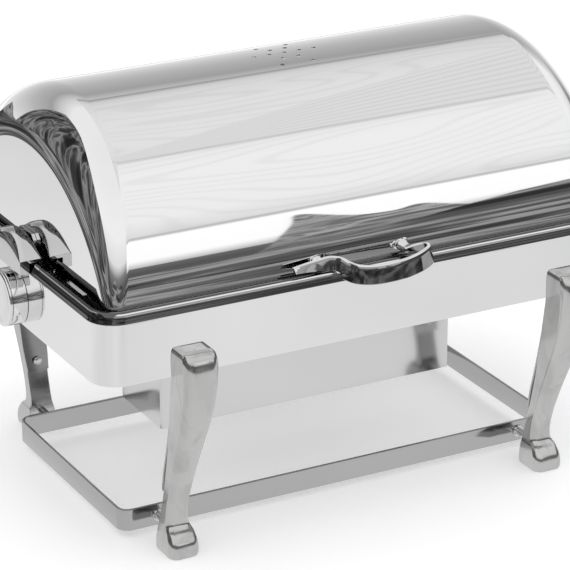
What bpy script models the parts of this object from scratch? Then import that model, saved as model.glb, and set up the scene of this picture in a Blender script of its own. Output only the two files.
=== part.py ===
# Roll-top chafing dish food warmer: collar, pans, rolling cover, cast legs and base ring.
# World frame: +X along the length, +Y to the back, +Z up, floor at z = 0, metres.
import math
import bmesh
import bpy

# ---------- driving dimensions ----------
COLLAR_HX = 0.3000          # outer half length of the body collar
COLLAR_HY = 0.1975          # outer half width of the body collar
COLLAR_R = 0.0280           # corner radius in plan
COLLAR_WALL = 0.0012        # sheet thickness of the collar
COLLAR_Z0 = 0.2000          # lower edge of the collar
RIM_Z0 = 0.2625             # underside of the rolled rim
RIM_Z1 = 0.2740             # top of the rolled rim
RIM_OUT = 0.0016            # how far the rim stands out of the wall
RIM_IN_X = 0.0075           # how far the rim reaches in from the end walls
RIM_IN_Y = 0.0112           # how far the rim reaches in from the long walls

PIVOT_Z = 0.2495            # height of the cover's roll axis
COVER_R = 0.1835            # outer radius of the cover about the roll axis
COVER_T = 0.0010            # sheet thickness of the cover
COVER_HX = 0.2845           # outer half length of the cover
COVER_FILLET_LOW = 0.0100   # rounding between drum and end face at the lower edge
COVER_FILLET_ADD = 0.0410   # how much that rounding grows towards the ridge
COVER_A0 = math.radians(6.6)  # angle of the cover's lower edges above the axis
VENT_PITCH = 0.0170         # spacing of the vent holes
VENT_R = 0.0025             # radius of a vent hole
VENT_ANGLE = math.radians(90.1)  # position of the vent star around the drum

PIN_R = 0.0040              # radius of the pivot pins
ARM_X0 = 0.2848             # inner face of the hinge arm
ARM_X1 = 0.2882             # outer face of the hinge arm
SADDLE_X0 = 0.2886          # inner face of the hinge saddle
SADDLE_X1 = 0.2920          # outer face of the saddle's inner leg
SADDLE_X2 = 0.3024          # inner face of the saddle's outer leg
SADDLE_X3 = 0.3120          # outer face of the saddle
SADDLE_HY = 0.0400          # half width of the saddle
SADDLE_R = 0.0485           # radius of the saddle's arch about the roll axis

BLOCK_X0 = 0.3003           # side block, face on the collar
BLOCK_SEAM = 0.3158         # seam between block and its end cap
BLOCK_X1 = 0.3190           # outer face of the end cap
BLOCK_R = 0.0290            # radius of the side block
BLOCK_Z = 0.2275            # height of the side block's centre

GAP = 0.0003                # assembly gap between touching pieces

WATER_HX = 0.2700           # outer half length of the water pan wall at the top
WATER_HY = 0.1600           # outer half width of the water pan wall at the top
WATER_Z0 = 0.1830           # bottom of the water pan
WATER_Z1 = 0.2400           # underside of the water pan flange
PAN_T = 0.0010              # sheet thickness of the pans

RING_HX = 0.2507            # outer half length of the base ring
RING_HY = 0.1276            # outer half width of the base ring
RING_R = 0.0130             # outer corner radius of the base ring
RING_T = 0.0030             # strip thickness of the base ring
RING_Z0 = 0.0094            # lower edge of the base ring
RING_Z1 = 0.0324            # upper edge of the base ring

LEG_X = 0.2105              # leg centre from the middle, along X
GUARD_X0 = -0.1690          # flame guard, left wall
GUARD_X1 = 0.1690           # flame guard, right wall
GUARD_Y0 = -0.0520          # flame guard, front wall
GUARD_Y1 = 0.0420           # flame guard, rear wall
GUARD_Z0 = 0.0740           # lower edge of the flame guard
GUARD_Z1 = 0.1811           # height of the flame guard's inturned top

for old in list(bpy.data.objects):
    bpy.data.objects.remove(old, do_unlink=True)


# ---------- helpers ----------
def steel(name, rough, tint):
    mat = bpy.data.materials.new(name)
    mat.use_nodes = True
    shader = mat.node_tree.nodes["Principled BSDF"]
    shader.inputs["Base Color"].default_value = (tint[0], tint[1], tint[2], 1.0)
    shader.inputs["Metallic"].default_value = 1.0
    shader.inputs["Roughness"].default_value = rough
    mat.diffuse_color = (tint[0], tint[1], tint[2], 1.0)
    mat.metallic = 1.0
    mat.roughness = rough
    return mat


def finish(name, bm, mat, origin=(0.0, 0.0, 0.0)):
    bmesh.ops.remove_doubles(bm, verts=bm.verts, dist=1e-7)
    bmesh.ops.recalc_face_normals(bm, faces=bm.faces)
    for v in bm.verts:
        v.co.x -= origin[0]
        v.co.y -= origin[1]
        v.co.z -= origin[2]
    mesh = bpy.data.meshes.new(name)
    bm.to_mesh(mesh)
    bm.free()
    mesh.materials.append(mat)
    obj = bpy.data.objects.new(name, mesh)
    obj.location = origin
    bpy.context.scene.collection.objects.link(obj)
    return obj


def loft(rings, closed=False):
    bm = bmesh.new()
    rows = []
    for ring in rings:
        rows.append([bm.verts.new(p) for p in ring])
    count = len(rows[0])
    pairs = list(zip(rows[:-1], rows[1:]))
    if closed:
        pairs.append((rows[-1], rows[0]))
    for a, b in pairs:
        for i in range(count):
            j = (i + 1) % count
            bm.faces.new((a[i], a[j], b[j], b[i]))
    if not closed:
        bm.faces.new(list(reversed(rows[0])))
        bm.faces.new(rows[-1])
    return bm


def rounded_rect(hx, hy, r, steps, z, cx=0.0, cy=0.0):
    pts = []
    corners = ((hx - r, hy - r, 0.0), (-hx + r, hy - r, 90.0))
    corners += ((-hx + r, -hy + r, 180.0), (hx - r, -hy + r, 270.0))
    for px, py, start in corners:
        for k in range(steps + 1):
            a = math.radians(start + 90.0 * k / steps)
            pts.append((cx + px + r * math.cos(a), cy + py + r * math.sin(a), z))
    return pts


def circle_x(x, cy, cz, r, steps):
    pts = []
    for k in range(steps):
        a = 2.0 * math.pi * k / steps
        pts.append((x, cy + r * math.cos(a), cz + r * math.sin(a)))
    return pts


def circle_y(y, cx, cz, r, steps):
    pts = []
    for k in range(steps):
        a = 2.0 * math.pi * k / steps
        pts.append((cx + r * math.cos(a), y, cz + r * math.sin(a)))
    return pts


def box_bm(x0, x1, y0, y1, z0, z1):
    low = [(x0, y0, z0), (x1, y0, z0), (x1, y1, z0), (x0, y1, z0)]
    high = [(x0, y0, z1), (x1, y0, z1), (x1, y1, z1), (x0, y1, z1)]
    return loft([low, high])


def prism_x(poly, x0, x1):
    return loft([[(x0, p[0], p[1]) for p in poly], [(x1, p[0], p[1]) for p in poly]])


def prism_y(poly, y0, y1):
    return loft([[(p[0], y0, p[1]) for p in poly], [(p[0], y1, p[1]) for p in poly]])


def cut(obj, cutters):
    for bm in cutters:
        bmesh.ops.recalc_face_normals(bm, faces=bm.faces)
        mesh = bpy.data.meshes.new("cutter")
        bm.to_mesh(mesh)
        bm.free()
        tool = bpy.data.objects.new("cutter", mesh)
        bpy.context.scene.collection.objects.link(tool)
        mod = obj.modifiers.new("hole", "BOOLEAN")
        mod.operation = "DIFFERENCE"
        mod.solver = "EXACT"
        mod.object = tool
        bpy.context.view_layer.update()
        graph = bpy.context.evaluated_depsgraph_get()
        result = bpy.data.meshes.new_from_object(obj.evaluated_get(graph))
        obj.modifiers.clear()
        obj.data = result
        bpy.data.objects.remove(tool, do_unlink=True)
    return obj


def child_of(obj, parent):
    obj.parent = parent
    obj.matrix_parent_inverse = parent.matrix_world.inverted()
    return obj


MAT_COLLAR = steel("collar_polished", 0.08, (0.80, 0.80, 0.80))
MAT_COVER = steel("cover_polished", 0.05, (0.84, 0.84, 0.84))
MAT_PAN = steel("pan_satin", 0.28, (0.70, 0.70, 0.70))
MAT_LEG = steel("leg_cast", 0.16, (0.66, 0.66, 0.66))
MAT_STRAP = steel("strap_satin", 0.22, (0.55, 0.55, 0.55))
MAT_FIX = steel("fixing_steel", 0.20, (0.62, 0.62, 0.62))
MAT_GUARD = steel("guard_sheet", 0.12, (0.75, 0.75, 0.75))
MAT_HANDLE = steel("handle_polished", 0.07, (0.82, 0.82, 0.82))

# ---------- body collar with rolled rim ----------
STEPS = 8
hx, hy, cr = COLLAR_HX, COLLAR_HY, COLLAR_R
rings = []
outline = [
    (0.0, 0.0, COLLAR_Z0),
    (0.0, 0.0, RIM_Z0 - 0.0006),
    (RIM_OUT * 0.7, RIM_OUT * 0.7, RIM_Z0),
    (RIM_OUT, RIM_OUT, RIM_Z0 + 0.0012),
    (RIM_OUT - 0.0030, RIM_OUT - 0.0030, RIM_Z1 - 0.0022),
    (RIM_OUT - 0.0042, RIM_OUT - 0.0042, RIM_Z1 - 0.0005),
    (-0.0042, -0.0042, RIM_Z1),
    (-RIM_IN_X + 0.0022, -RIM_IN_Y + 0.0022, RIM_Z1 - 0.0006),
    (-RIM_IN_X, -RIM_IN_Y, RIM_Z1 - 0.0024),
    (-RIM_IN_X, -RIM_IN_Y, RIM_Z0 + 0.0024),
    (-RIM_IN_X + 0.0010, -RIM_IN_Y + 0.0010, RIM_Z0 + 0.0022),
    (-RIM_IN_X + 0.0012, -RIM_IN_Y + 0.0012, RIM_Z1 - 0.0042),
    (-COLLAR_WALL, -COLLAR_WALL, RIM_Z1 - 0.0046),
    (-COLLAR_WALL, -COLLAR_WALL, COLLAR_Z0),
]
for off_x, off_y, z in outline:
    rings.append(rounded_rect(hx + off_x, hy + off_y, cr + max(off_x, off_y), STEPS, z))
collar = finish("body_collar", loft(rings, closed=True), MAT_COLLAR)

# ---------- ledges inside the collar that carry the water pan ----------
inner_y = COLLAR_HY - COLLAR_WALL - GAP
inner_x = COLLAR_HX - COLLAR_WALL - GAP
ledge_top = WATER_Z1 - GAP
angle = [
    (-inner_y, ledge_top - 0.0140),
    (-inner_y + 0.0016, ledge_top - 0.0140),
    (-inner_y + 0.0016, ledge_top - 0.0016),
    (-inner_y + 0.0200, ledge_top - 0.0016),
    (-inner_y + 0.0200, ledge_top),
    (-inner_y, ledge_top),
]
front_ledge = finish("front_ledge", prism_x(angle, -0.1700, 0.1700), MAT_PAN)
for side, tag in ((-1.0, "left"), (1.0, "right")):
    poly = [
        (side * inner_x, ledge_top - 0.0140),
        (side * (inner_x - 0.0016), ledge_top - 0.0140),
        (side * (inner_x - 0.0016), ledge_top - 0.0016),
        (side * (inner_x - 0.0270), ledge_top - 0.0016),
        (side * (inner_x - 0.0270), ledge_top),
        (side * inner_x, ledge_top),
    ]
    finish("end_ledge_" + tag, prism_y(poly, -0.1600, -0.0600), MAT_PAN)

# ---------- water pan ----------
front_flange = COLLAR_HY - COLLAR_WALL - 0.0040
end_flange = COLLAR_HX - COLLAR_WALL - 0.0188


def pan_ring(hx_in, hy_in, r, z):
    return rounded_rect(hx_in, hy_in, r, 6, z)


water = [
    pan_ring(WATER_HX - 0.0220, WATER_HY - 0.0220, 0.0300, WATER_Z0),
    pan_ring(WATER_HX - 0.0120, WATER_HY - 0.0120, 0.0340, WATER_Z0 + 0.0022),
    pan_ring(WATER_HX - 0.0070, WATER_HY - 0.0070, 0.0360, WATER_Z0 + 0.0090),
    pan_ring(WATER_HX, WATER_HY, 0.0380, WATER_Z1),
    pan_ring(end_flange, WATER_HY + 0.0040, 0.0400, WATER_Z1),
    pan_ring(end_flange, WATER_HY + 0.0040, 0.0400, WATER_Z1 + PAN_T),
    pan_ring(WATER_HX - PAN_T, WATER_HY - PAN_T, 0.0370, WATER_Z1 + PAN_T),
    pan_ring(WATER_HX - 0.0070 - PAN_T, WATER_HY - 0.0070 - PAN_T, 0.0350, WATER_Z0 + 0.0095),
    pan_ring(WATER_HX - 0.0120 - PAN_T, WATER_HY - 0.0120 - PAN_T, 0.0330, WATER_Z0 + 0.0034),
    pan_ring(WATER_HX - 0.0220, WATER_HY - 0.0220, 0.0300, WATER_Z0 + PAN_T),
]
water_pan = finish("water_pan", loft(water), MAT_PAN)
# front lip that lies on the front ledge
lip_y0 = -(COLLAR_HY - COLLAR_WALL - 0.0030)
lip = [
    (lip_y0, WATER_Z1),
    (-(WATER_HY + 0.0040) - GAP, WATER_Z1),
    (-(WATER_HY + 0.0040) - GAP, WATER_Z1 + PAN_T),
    (lip_y0, WATER_Z1 + PAN_T),
]
front_lip = finish("water_pan_front_lip", prism_x(lip, -0.1650, 0.1650), MAT_PAN)

# ---------- food pan, full size, resting on the water pan's edge ----------
food_z = WATER_Z1 + PAN_T + GAP
food = [
    pan_ring(0.2300, 0.1240, 0.0300, food_z - 0.0480),
    pan_ring(0.2440, 0.1380, 0.0380, food_z - 0.0440),
    pan_ring(0.2500, 0.1440, 0.0400, food_z - 0.0340),
    pan_ring(0.2560, 0.1500, 0.0400, food_z - 0.0010),
    pan_ring(0.2560, 0.1500, 0.0400, food_z),
    pan_ring(0.2640, 0.1580, 0.0420, food_z),
    pan_ring(0.2650, 0.1590, 0.0430, food_z + 0.0010),
    pan_ring(0.2640, 0.1580, 0.0420, food_z + 0.0022),
    pan_ring(0.2560, 0.1500, 0.0400, food_z + 0.0022),
    pan_ring(0.2550, 0.1490, 0.0390, food_z + 0.0010),
    pan_ring(0.2490, 0.1430, 0.0390, food_z - 0.0335),
    pan_ring(0.2430, 0.1370, 0.0370, food_z - 0.0428),
    pan_ring(0.2300, 0.1240, 0.0300, food_z - 0.0468),
]
# the flange spans onto the water pan's edge
food[5] = pan_ring(0.2720, 0.1625, 0.0420, food_z)
food[6] = pan_ring(0.2728, 0.1633, 0.0430, food_z + 0.0010)
food[7] = pan_ring(0.2720, 0.1625, 0.0420, food_z + 0.0022)
food_pan = finish("food_pan", loft(food), MAT_PAN)


# ---------- rolling cover ----------
def cover_profile(offset, angle_up):
    fillet = COVER_FILLET_LOW + COVER_FILLET_ADD * math.sin(angle_up) ** 0.8
    r_end = COVER_R - fillet
    f = fillet - offset
    left = []
    for k in range(7):
        a = math.radians(90.0 * k / 6.0)
        left.append((-(COVER_HX - fillet) - f * math.cos(a), r_end + f * math.sin(a)))
    mids = []
    for k in range(1, 3):
        x0 = -(COVER_HX - fillet)
        mids.append((x0 + (-2.0 * x0) * k / 3.0, r_end + f))
    right = [(-x, r) for x, r in reversed(left)]
    return left + mids + right


ARC = 42


def cover_rows(bm, offset):
    columns = []
    for k in range(ARC + 1):
        a = COVER_A0 + (math.pi - 2.0 * COVER_A0) * k / ARC
        column = []
        for x, r in cover_profile(offset, a):
            column.append(bm.verts.new((x, -r * math.cos(a), PIVOT_Z + r * math.sin(a))))
        columns.append(column)
    return [list(row) for row in zip(*columns)]


bm = bmesh.new()
outer = cover_rows(bm, 0.0)
inner = cover_rows(bm, COVER_T)
last = len(outer) - 1
for i in range(last):
    for k in range(ARC):
        bm.faces.new((outer[i][k], outer[i + 1][k], outer[i + 1][k + 1], outer[i][k + 1]))
        bm.faces.new((inner[i][k], inner[i][k + 1], inner[i + 1][k + 1], inner[i + 1][k]))
    for k in (0, ARC):
        bm.faces.new((outer[i][k], outer[i + 1][k], inner[i + 1][k], inner[i][k]))
for i in (0, last):
    bm.faces.new(outer[i])
    bm.faces.new(inner[i])
    bm.faces.new((outer[i][0], outer[i][ARC], inner[i][ARC], inner[i][0]))
cover = finish("roll_cover", bm, MAT_COVER, (0.0, 0.0, PIVOT_Z))

vents = []
spots = [(0.0, 0.0)]
for arm in range(6):
    a = math.radians(60.0 * arm)
    for step in (1, 2):
        spots.append((step * VENT_PITCH * math.cos(a), step * VENT_PITCH * math.sin(a)))
for sx, sarc in spots:
    ang = VENT_ANGLE + sarc / COVER_R
    uy, uz = -math.cos(ang), math.sin(ang)
    ty, tz = math.sin(ang), math.cos(ang)
    rows = []
    for rad in (COVER_R - 0.006, COVER_R + 0.006):
        row = []
        for k in range(10):
            t = 2.0 * math.pi * k / 10.0
            dx = VENT_R * math.cos(t)
            dt = VENT_R * math.sin(t)
            row.append((sx + dx, rad * uy + dt * ty, PIVOT_Z + rad * uz + dt * tz))
        rows.append(row)
    vents.append(loft(rows))
cut(cover, vents)

# ---------- hinge arms on the cover's ends, saddles over the rim, pins ----------
for side, tag in ((-1.0, "left"), (1.0, "right")):
    poly = []
    for k in range(13):
        a = math.pi + math.pi * k / 12.0
        poly.append((0.0190 * math.cos(a), PIVOT_Z + 0.0190 * math.sin(a)))
    poly.append((0.0190, 0.2890))
    poly.append((0.0140, 0.2940))
    poly.append((-0.0140, 0.2940))
    poly.append((-0.0190, 0.2890))
    arm_bm = prism_x(poly, side * ARM_X0, side * ARM_X1)
    arm = finish("hinge_arm_" + tag, arm_bm, MAT_FIX, (0.0, 0.0, PIVOT_Z))
    hole = loft([
        circle_x(side * (ARM_X0 - 0.003), 0.0, PIVOT_Z, PIN_R + GAP, 20),
        circle_x(side * (ARM_X1 + 0.003), 0.0, PIVOT_Z, PIN_R + GAP, 20),
    ])
    cut(arm, [hole])
    child_of(arm, cover)

    stations = []
    n = 14
    for k in range(n + 1):
        t = -1.0 + 2.0 * k / n
        y = SADDLE_HY * math.sin(t * math.pi / 2.0)
        base = RIM_Z1 + 0.0030
        top = PIVOT_Z + math.sqrt(SADDLE_R ** 2 - y ** 2)
        rise = max(0.0008, top - base)
        mid = (SADDLE_X0 + SADDLE_X3) / 2.0
        half = (SADDLE_X3 - SADDLE_X0) / 2.0
        ring = [(side * SADDLE_X0, y, 0.2300)]
        for j in range(9):
            a = math.pi * (1.0 - j / 8.0)
            wide = math.copysign(abs(math.cos(a)) ** 0.7, math.cos(a))
            ring.append((side * (mid + half * wide), y, base + rise * math.sin(a) ** 0.7))
        ring += [
            (side * SADDLE_X3, y, 0.2640),
            (side * SADDLE_X2, y, 0.2640),
            (side * SADDLE_X2, y, RIM_Z1 + 0.0008),
            (side * SADDLE_X1, y, RIM_Z1 + 0.0008),
            (side * SADDLE_X1, y, 0.2300),
        ]
        stations.append(ring)
    saddle = finish("hinge_saddle_" + tag, loft(stations), MAT_HANDLE)
    hole = loft([
        circle_x(side * (SADDLE_X0 - 0.003), 0.0, PIVOT_Z, PIN_R + GAP, 20),
        circle_x(side * (SADDLE_X1 + 0.003), 0.0, PIVOT_Z, PIN_R + GAP, 20),
    ])
    cut(saddle, [hole])

    pin = loft([
        circle_x(side * 0.2808, 0.0, PIVOT_Z, 0.0060, 20),
        circle_x(side * 0.2813, 0.0, PIVOT_Z, 0.0070, 20),
        circle_x(side * 0.2844, 0.0, PIVOT_Z, 0.0070, 20),
        circle_x(side * 0.2844, 0.0, PIVOT_Z, PIN_R, 20),
        circle_x(side * 0.2924, 0.0, PIVOT_Z, PIN_R, 20),
        circle_x(side * 0.2924, 0.0, PIVOT_Z, 0.0065, 20),
        circle_x(side * 0.2945, 0.0, PIVOT_Z, 0.0065, 20),
        circle_x(side * 0.2952, 0.0, PIVOT_Z, 0.0050, 20),
    ])
    finish("pivot_pin_" + tag, pin, MAT_FIX)

    block = loft([
        circle_x(side * BLOCK_X0, 0.0, BLOCK_Z, BLOCK_R, 36),
        circle_x(side * (BLOCK_SEAM - GAP / 2.0), 0.0, BLOCK_Z, BLOCK_R, 36),
    ])
    finish("side_block_" + tag, block, MAT_HANDLE)
    cap = loft([
        circle_x(side * (BLOCK_SEAM + GAP / 2.0), 0.0, BLOCK_Z, BLOCK_R, 36),
        circle_x(side * (BLOCK_X1 - 0.0010), 0.0, BLOCK_Z, BLOCK_R, 36),
        circle_x(side * BLOCK_X1, 0.0, BLOCK_Z, BLOCK_R - 0.0012, 36),
    ])
    finish("side_block_cap_" + tag, cap, MAT_HANDLE)

# ---------- front handle: flat bar bent in an S, on two short posts ----------
HANDLE_Z0 = 0.2747          # lower edge where the bar passes over the rim
HANDLE_DROP = 0.0050        # how much lower the grip hangs in front of the rim
HANDLE_Z1 = 0.2880
BAR_T = 0.0038
key = [
    (-0.0930, -0.1935), (-0.0760, -0.1915), (-0.0600, -0.1912), (-0.0500, -0.1930),
    (-0.0452, -0.2000), (-0.0440, -0.2120), (-0.0400, -0.2235), (-0.0300, -0.2310),
    (-0.0150, -0.2337), (0.0050, -0.2322), (0.0250, -0.2260), (0.0420, -0.2165),
    (0.0505, -0.2080), (0.0500, -0.1985), (0.0415, -0.1940), (0.0280, -0.1945),
]


def spline(points, per):
    out = []
    n = len(points)
    for i in range(n - 1):
        p0 = points[max(i - 1, 0)]
        p1 = points[i]
        p2 = points[i + 1]
        p3 = points[min(i + 2, n - 1)]
        for k in range(per):
            t = k / per
            q = []
            for c in (0, 1):
                a = 2.0 * p1[c]
                b = (p2[c] - p0[c]) * t
                d = (2.0 * p0[c] - 5.0 * p1[c] + 4.0 * p2[c] - p3[c]) * t * t
                e = (-p0[c] + 3.0 * p1[c] - 3.0 * p2[c] + p3[c]) * t * t * t
                q.append(0.5 * (a + b + d + e))
            out.append(tuple(q))
    out.append(points[-1])
    return out


path = spline(key, 3)
rings = []
for i, (px, py) in enumerate(path):
    ax, ay = path[max(i - 1, 0)]
    bx, by = path[min(i + 1, len(path) - 1)]
    length = math.hypot(bx - ax, by - ay)
    nx, ny = -(by - ay) / length, (bx - ax) / length
    half = BAR_T / 2.0
    c = 0.0009
    low = HANDLE_Z0 - HANDLE_DROP * min(1.0, max(0.0, (-0.2028 - py) / 0.0060))
    ring = []
    for u, z in (
        (half, low + c), (half, HANDLE_Z1 - c), (half - c, HANDLE_Z1),
        (-half + c, HANDLE_Z1), (-half, HANDLE_Z1 - c), (-half, low + c),
        (-half + c, low), (half - c, low),
    ):
        ring.append((px + nx * u, py + ny * u, z))
    rings.append(ring)
handle = finish("front_handle", loft(rings), MAT_HANDLE, (0.0, 0.0, PIVOT_Z))
child_of(handle, cover)
POST_Z = 0.2815
surf_y = -math.sqrt(COVER_R ** 2 - (POST_Z - PIVOT_Z) ** 2)
for tag, px, bar_y in (("left", -0.0620, -0.1912), ("right", 0.0335, -0.1940)):
    y_in = surf_y - 0.0012
    y_out = bar_y + BAR_T / 2.0 + GAP
    post = finish("handle_post_" + tag, loft([
        circle_y(y_in, px, POST_Z, 0.0055, 16),
        circle_y(y_out + 0.0012, px, POST_Z, 0.0045, 16),
        circle_y(y_out, px, POST_Z, 0.0045, 16),
    ]), MAT_HANDLE, (0.0, 0.0, PIVOT_Z))
    child_of(post, cover)


# ---------- cast legs, straps, fixings ----------
LEG = [
    # height, inner face, outer face, half width, outer rounding
    (0.2325, 0.2030, 0.2225, 0.0125, 0.005),
    (0.2314, 0.1996, 0.2282, 0.0160, 0.007),
    (0.2282, 0.1984, 0.2322, 0.0178, 0.008),
    (0.2225, 0.1982, 0.2346, 0.0184, 0.009),
    (0.2120, 0.1982, 0.2360, 0.0184, 0.010),
    (0.1990, 0.1978, 0.2352, 0.0180, 0.010),
    (0.1820, 0.1942, 0.2328, 0.0172, 0.010),
    (0.1600, 0.1895, 0.2252, 0.0162, 0.009),
    (0.1350, 0.1838, 0.2146, 0.0148, 0.009),
    (0.1100, 0.1775, 0.2026, 0.0135, 0.008),
    (0.0850, 0.1705, 0.1908, 0.0126, 0.007),
    (0.0600, 0.1636, 0.1806, 0.0120, 0.006),
    (0.0420, 0.1584, 0.1762, 0.0119, 0.006),
    (0.0310, 0.1560, 0.1762, 0.0124, 0.006),
    (0.0240, 0.1556, 0.1812, 0.0140, 0.007),
    (0.0175, 0.1556, 0.1880, 0.0155, 0.008),
    (0.0120, 0.1556, 0.1915, 0.0164, 0.008),
    (0.0030, 0.1558, 0.1922, 0.0164, 0.008),
    (0.0000, 0.1575, 0.1905, 0.0150, 0.008),
]


def leg_ring(sx, sy, z, yin, yout, hw, r):
    r_in = 0.0018
    pts = []
    for px, py, rad, start in (
        (hw - r, yout - r, r, 0.0), (-hw + r, yout - r, r, 90.0),
        (-hw + r_in, yin + r_in, r_in, 180.0), (hw - r_in, yin + r_in, r_in, 270.0),
    ):
        for k in range(5):
            a = math.radians(start + 90.0 * k / 4.0)
            pts.append((sx * (LEG_X + px + rad * math.cos(a)), sy * (py + rad * math.sin(a)), z))
    return pts


def leg_inner(z):
    for (z1, a, _, _, _), (z0, b, _, _, _) in zip(LEG[:-1], LEG[1:]):
        if z0 <= z <= z1:
            return b + (a - b) * (z - z0) / (z1 - z0)
    return LEG[-1][1]


BOLT_Z = 0.2160
RIVET_Z = 0.0760
STUD_Z = 0.0209
for sx, xtag in ((-1.0, "left"), (1.0, "right")):
    for sy, ytag in ((-1.0, "front"), (1.0, "rear")):
        tag = ytag + "_" + xtag
        rows = [leg_ring(sx, sy, z, a, b, w, r) for z, a, b, w, r in LEG]
        finish("leg_" + tag, loft(rows), MAT_LEG)
        rows = []
        wall_in = COLLAR_HY - COLLAR_WALL
        for z in (0.2300, 0.2020, 0.1970, 0.1820, 0.1600, 0.1350, 0.1100, 0.0850, 0.0650):
            face = wall_in - GAP if z > 0.2 else min(leg_inner(z), wall_in) - 0.0004
            w = 0.0135 if z > 0.0660 else 0.0120
            rows.append([
                (sx * (LEG_X - w), sy * face, z), (sx * (LEG_X + w), sy * face, z),
                (sx * (LEG_X + w), sy * (face - 0.0024), z),
                (sx * (LEG_X - w), sy * (face - 0.0024), z),
            ])
        finish("leg_strap_" + tag, loft(rows), MAT_STRAP)
        head_y = leg_inner(RIVET_Z) - 0.0004 - 0.0024 - GAP - 0.0012
        rivet = loft([
            circle_y(sy * head_y, LEG_X * sx, RIVET_Z, 0.0048, 16),
            circle_y(sy * (head_y - 0.0018), LEG_X * sx, RIVET_Z, 0.0040, 16),
            circle_y(sy * (head_y - 0.0026), LEG_X * sx, RIVET_Z, 0.0022, 16),
        ])
        finish("strap_rivet_" + tag, rivet, MAT_FIX)
        nut_y = wall_in - GAP - 0.0024 - GAP
        nut = loft([
            circle_y(sy * nut_y, LEG_X * sx, BOLT_Z, 0.0060, 6),
            circle_y(sy * (nut_y - 0.0036), LEG_X * sx, BOLT_Z, 0.0060, 6),
            circle_y(sy * (nut_y - 0.0036), LEG_X * sx, BOLT_Z, 0.0030, 6),
            circle_y(sy * (nut_y - 0.0050), LEG_X * sx, BOLT_Z, 0.0030, 6),
        ])
        finish("leg_nut_" + tag, nut, MAT_FIX)
        stud = loft([
            circle_y(sy * (RING_HY + GAP), LEG_X * sx, STUD_Z, 0.0062, 16),
            circle_y(sy * (RING_HY + 0.0030), LEG_X * sx, STUD_Z, 0.0062, 16),
            circle_y(sy * (RING_HY + 0.0030), LEG_X * sx, STUD_Z, 0.0040, 16),
            circle_y(sy * (0.1556 - GAP), LEG_X * sx, STUD_Z, 0.0040, 16),
        ])
        finish("ring_stud_" + tag, stud, MAT_FIX)

# ---------- base ring: flat strip on edge ----------
rings = []
for off, z in (
    (0.0, RING_Z0 + 0.0004), (0.0, RING_Z1 - 0.0004), (-0.0004, RING_Z1),
    (-RING_T + 0.0004, RING_Z1), (-RING_T, RING_Z1 - 0.0004), (-RING_T, RING_Z0 + 0.0004),
    (-RING_T + 0.0004, RING_Z0), (-0.0004, RING_Z0),
):
    rings.append(rounded_rect(RING_HX + off, RING_HY + off, RING_R + off, 8, z))
finish("base_ring", loft(rings, closed=True), MAT_STRAP)

# ---------- flame guard under the water pan ----------
gx = (GUARD_X0 + GUARD_X1) / 2.0
gy = (GUARD_Y0 + GUARD_Y1) / 2.0
ghx = (GUARD_X1 - GUARD_X0) / 2.0
ghy = (GUARD_Y1 - GUARD_Y0) / 2.0
rings = []
for off, z in (
    (0.0, GUARD_Z0), (0.0, GUARD_Z1), (0.0, GUARD_Z1 + 0.0016), (-0.0120, GUARD_Z1 + 0.0016),
    (-0.0120, GUARD_Z1 + 0.0006), (-0.0010, GUARD_Z1 + 0.0006), (-0.0010, GUARD_Z0),
):
    rings.append(rounded_rect(ghx + off, ghy + off, 0.0015 if off else 0.0025, 3, z, gx, gy))
finish("flame_guard", loft(rings, closed=True), MAT_GUARD)
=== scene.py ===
# Looks of the roll-top chafing dish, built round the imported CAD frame. Metres, +Z up.
import math
import bmesh
import bpy
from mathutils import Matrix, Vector


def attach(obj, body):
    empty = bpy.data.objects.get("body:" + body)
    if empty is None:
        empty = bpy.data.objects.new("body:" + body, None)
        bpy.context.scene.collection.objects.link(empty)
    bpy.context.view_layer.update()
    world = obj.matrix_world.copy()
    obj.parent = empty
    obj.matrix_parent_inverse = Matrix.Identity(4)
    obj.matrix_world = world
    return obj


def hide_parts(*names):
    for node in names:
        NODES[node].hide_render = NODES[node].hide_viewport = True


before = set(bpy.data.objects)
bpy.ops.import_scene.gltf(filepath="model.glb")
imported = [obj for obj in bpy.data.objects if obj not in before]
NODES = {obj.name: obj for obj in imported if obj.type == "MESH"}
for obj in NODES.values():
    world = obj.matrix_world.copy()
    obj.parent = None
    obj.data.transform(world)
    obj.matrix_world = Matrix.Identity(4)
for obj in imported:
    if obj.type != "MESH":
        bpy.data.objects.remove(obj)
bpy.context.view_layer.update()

# ---------- driving dimensions ----------
PIVOT_Z = 0.2495
COVER_R = 0.1835
COVER_HX = 0.2845
COVER_T = 0.0010
FILLET_LOW = 0.0100
FILLET_ADD = 0.0410
A0 = math.radians(6.6)
VENT_ANGLE = math.radians(90.1)
VENT_PITCH = 0.0170
VENT_R = 0.0025
COLLAR_HX = 0.3000
COLLAR_HY = 0.1975
COLLAR_R = 0.0280
COLLAR_WALL = 0.0012
RIM_Z1 = 0.2740
RIM_TOP_Z = 0.2730
RIM_INNER_Z = 0.2645
RIM_FACE_Z0, RIM_FACE_Z1 = 0.2632, 0.2722
RING_HX, RING_HY, RING_R, RING_T = 0.2507, 0.1276, 0.0130, 0.0030
RING_Z0, RING_Z1 = 0.0094, 0.0324
LEG_X = 0.2105
ECHO_INSET = 0.0015
ECHO_Z0, ECHO_Z1 = 0.0020, 0.1600
STRAP_T = 0.0024
STRAP_EDGE = 0.0004
RIVET_R = 0.0048
RIVET_Z = 0.0760
STUD_Z = 0.0209
STUD_END_Y = 0.1556
BLOCK_Z = 0.2275
BLOCK_R = 0.0290
SADDLE_HY = 0.0400
SADDLE_R = 0.0485
SADDLE_X = 0.3003
POST_Z = 0.2815
HANDLE_Z0 = 0.2747
HANDLE_Z1 = 0.2880
HANDLE_DROP = 0.0050
BAR_HALF = 0.0019
BAR_LEAN = 0.0020
GAP = 0.0003

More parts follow.
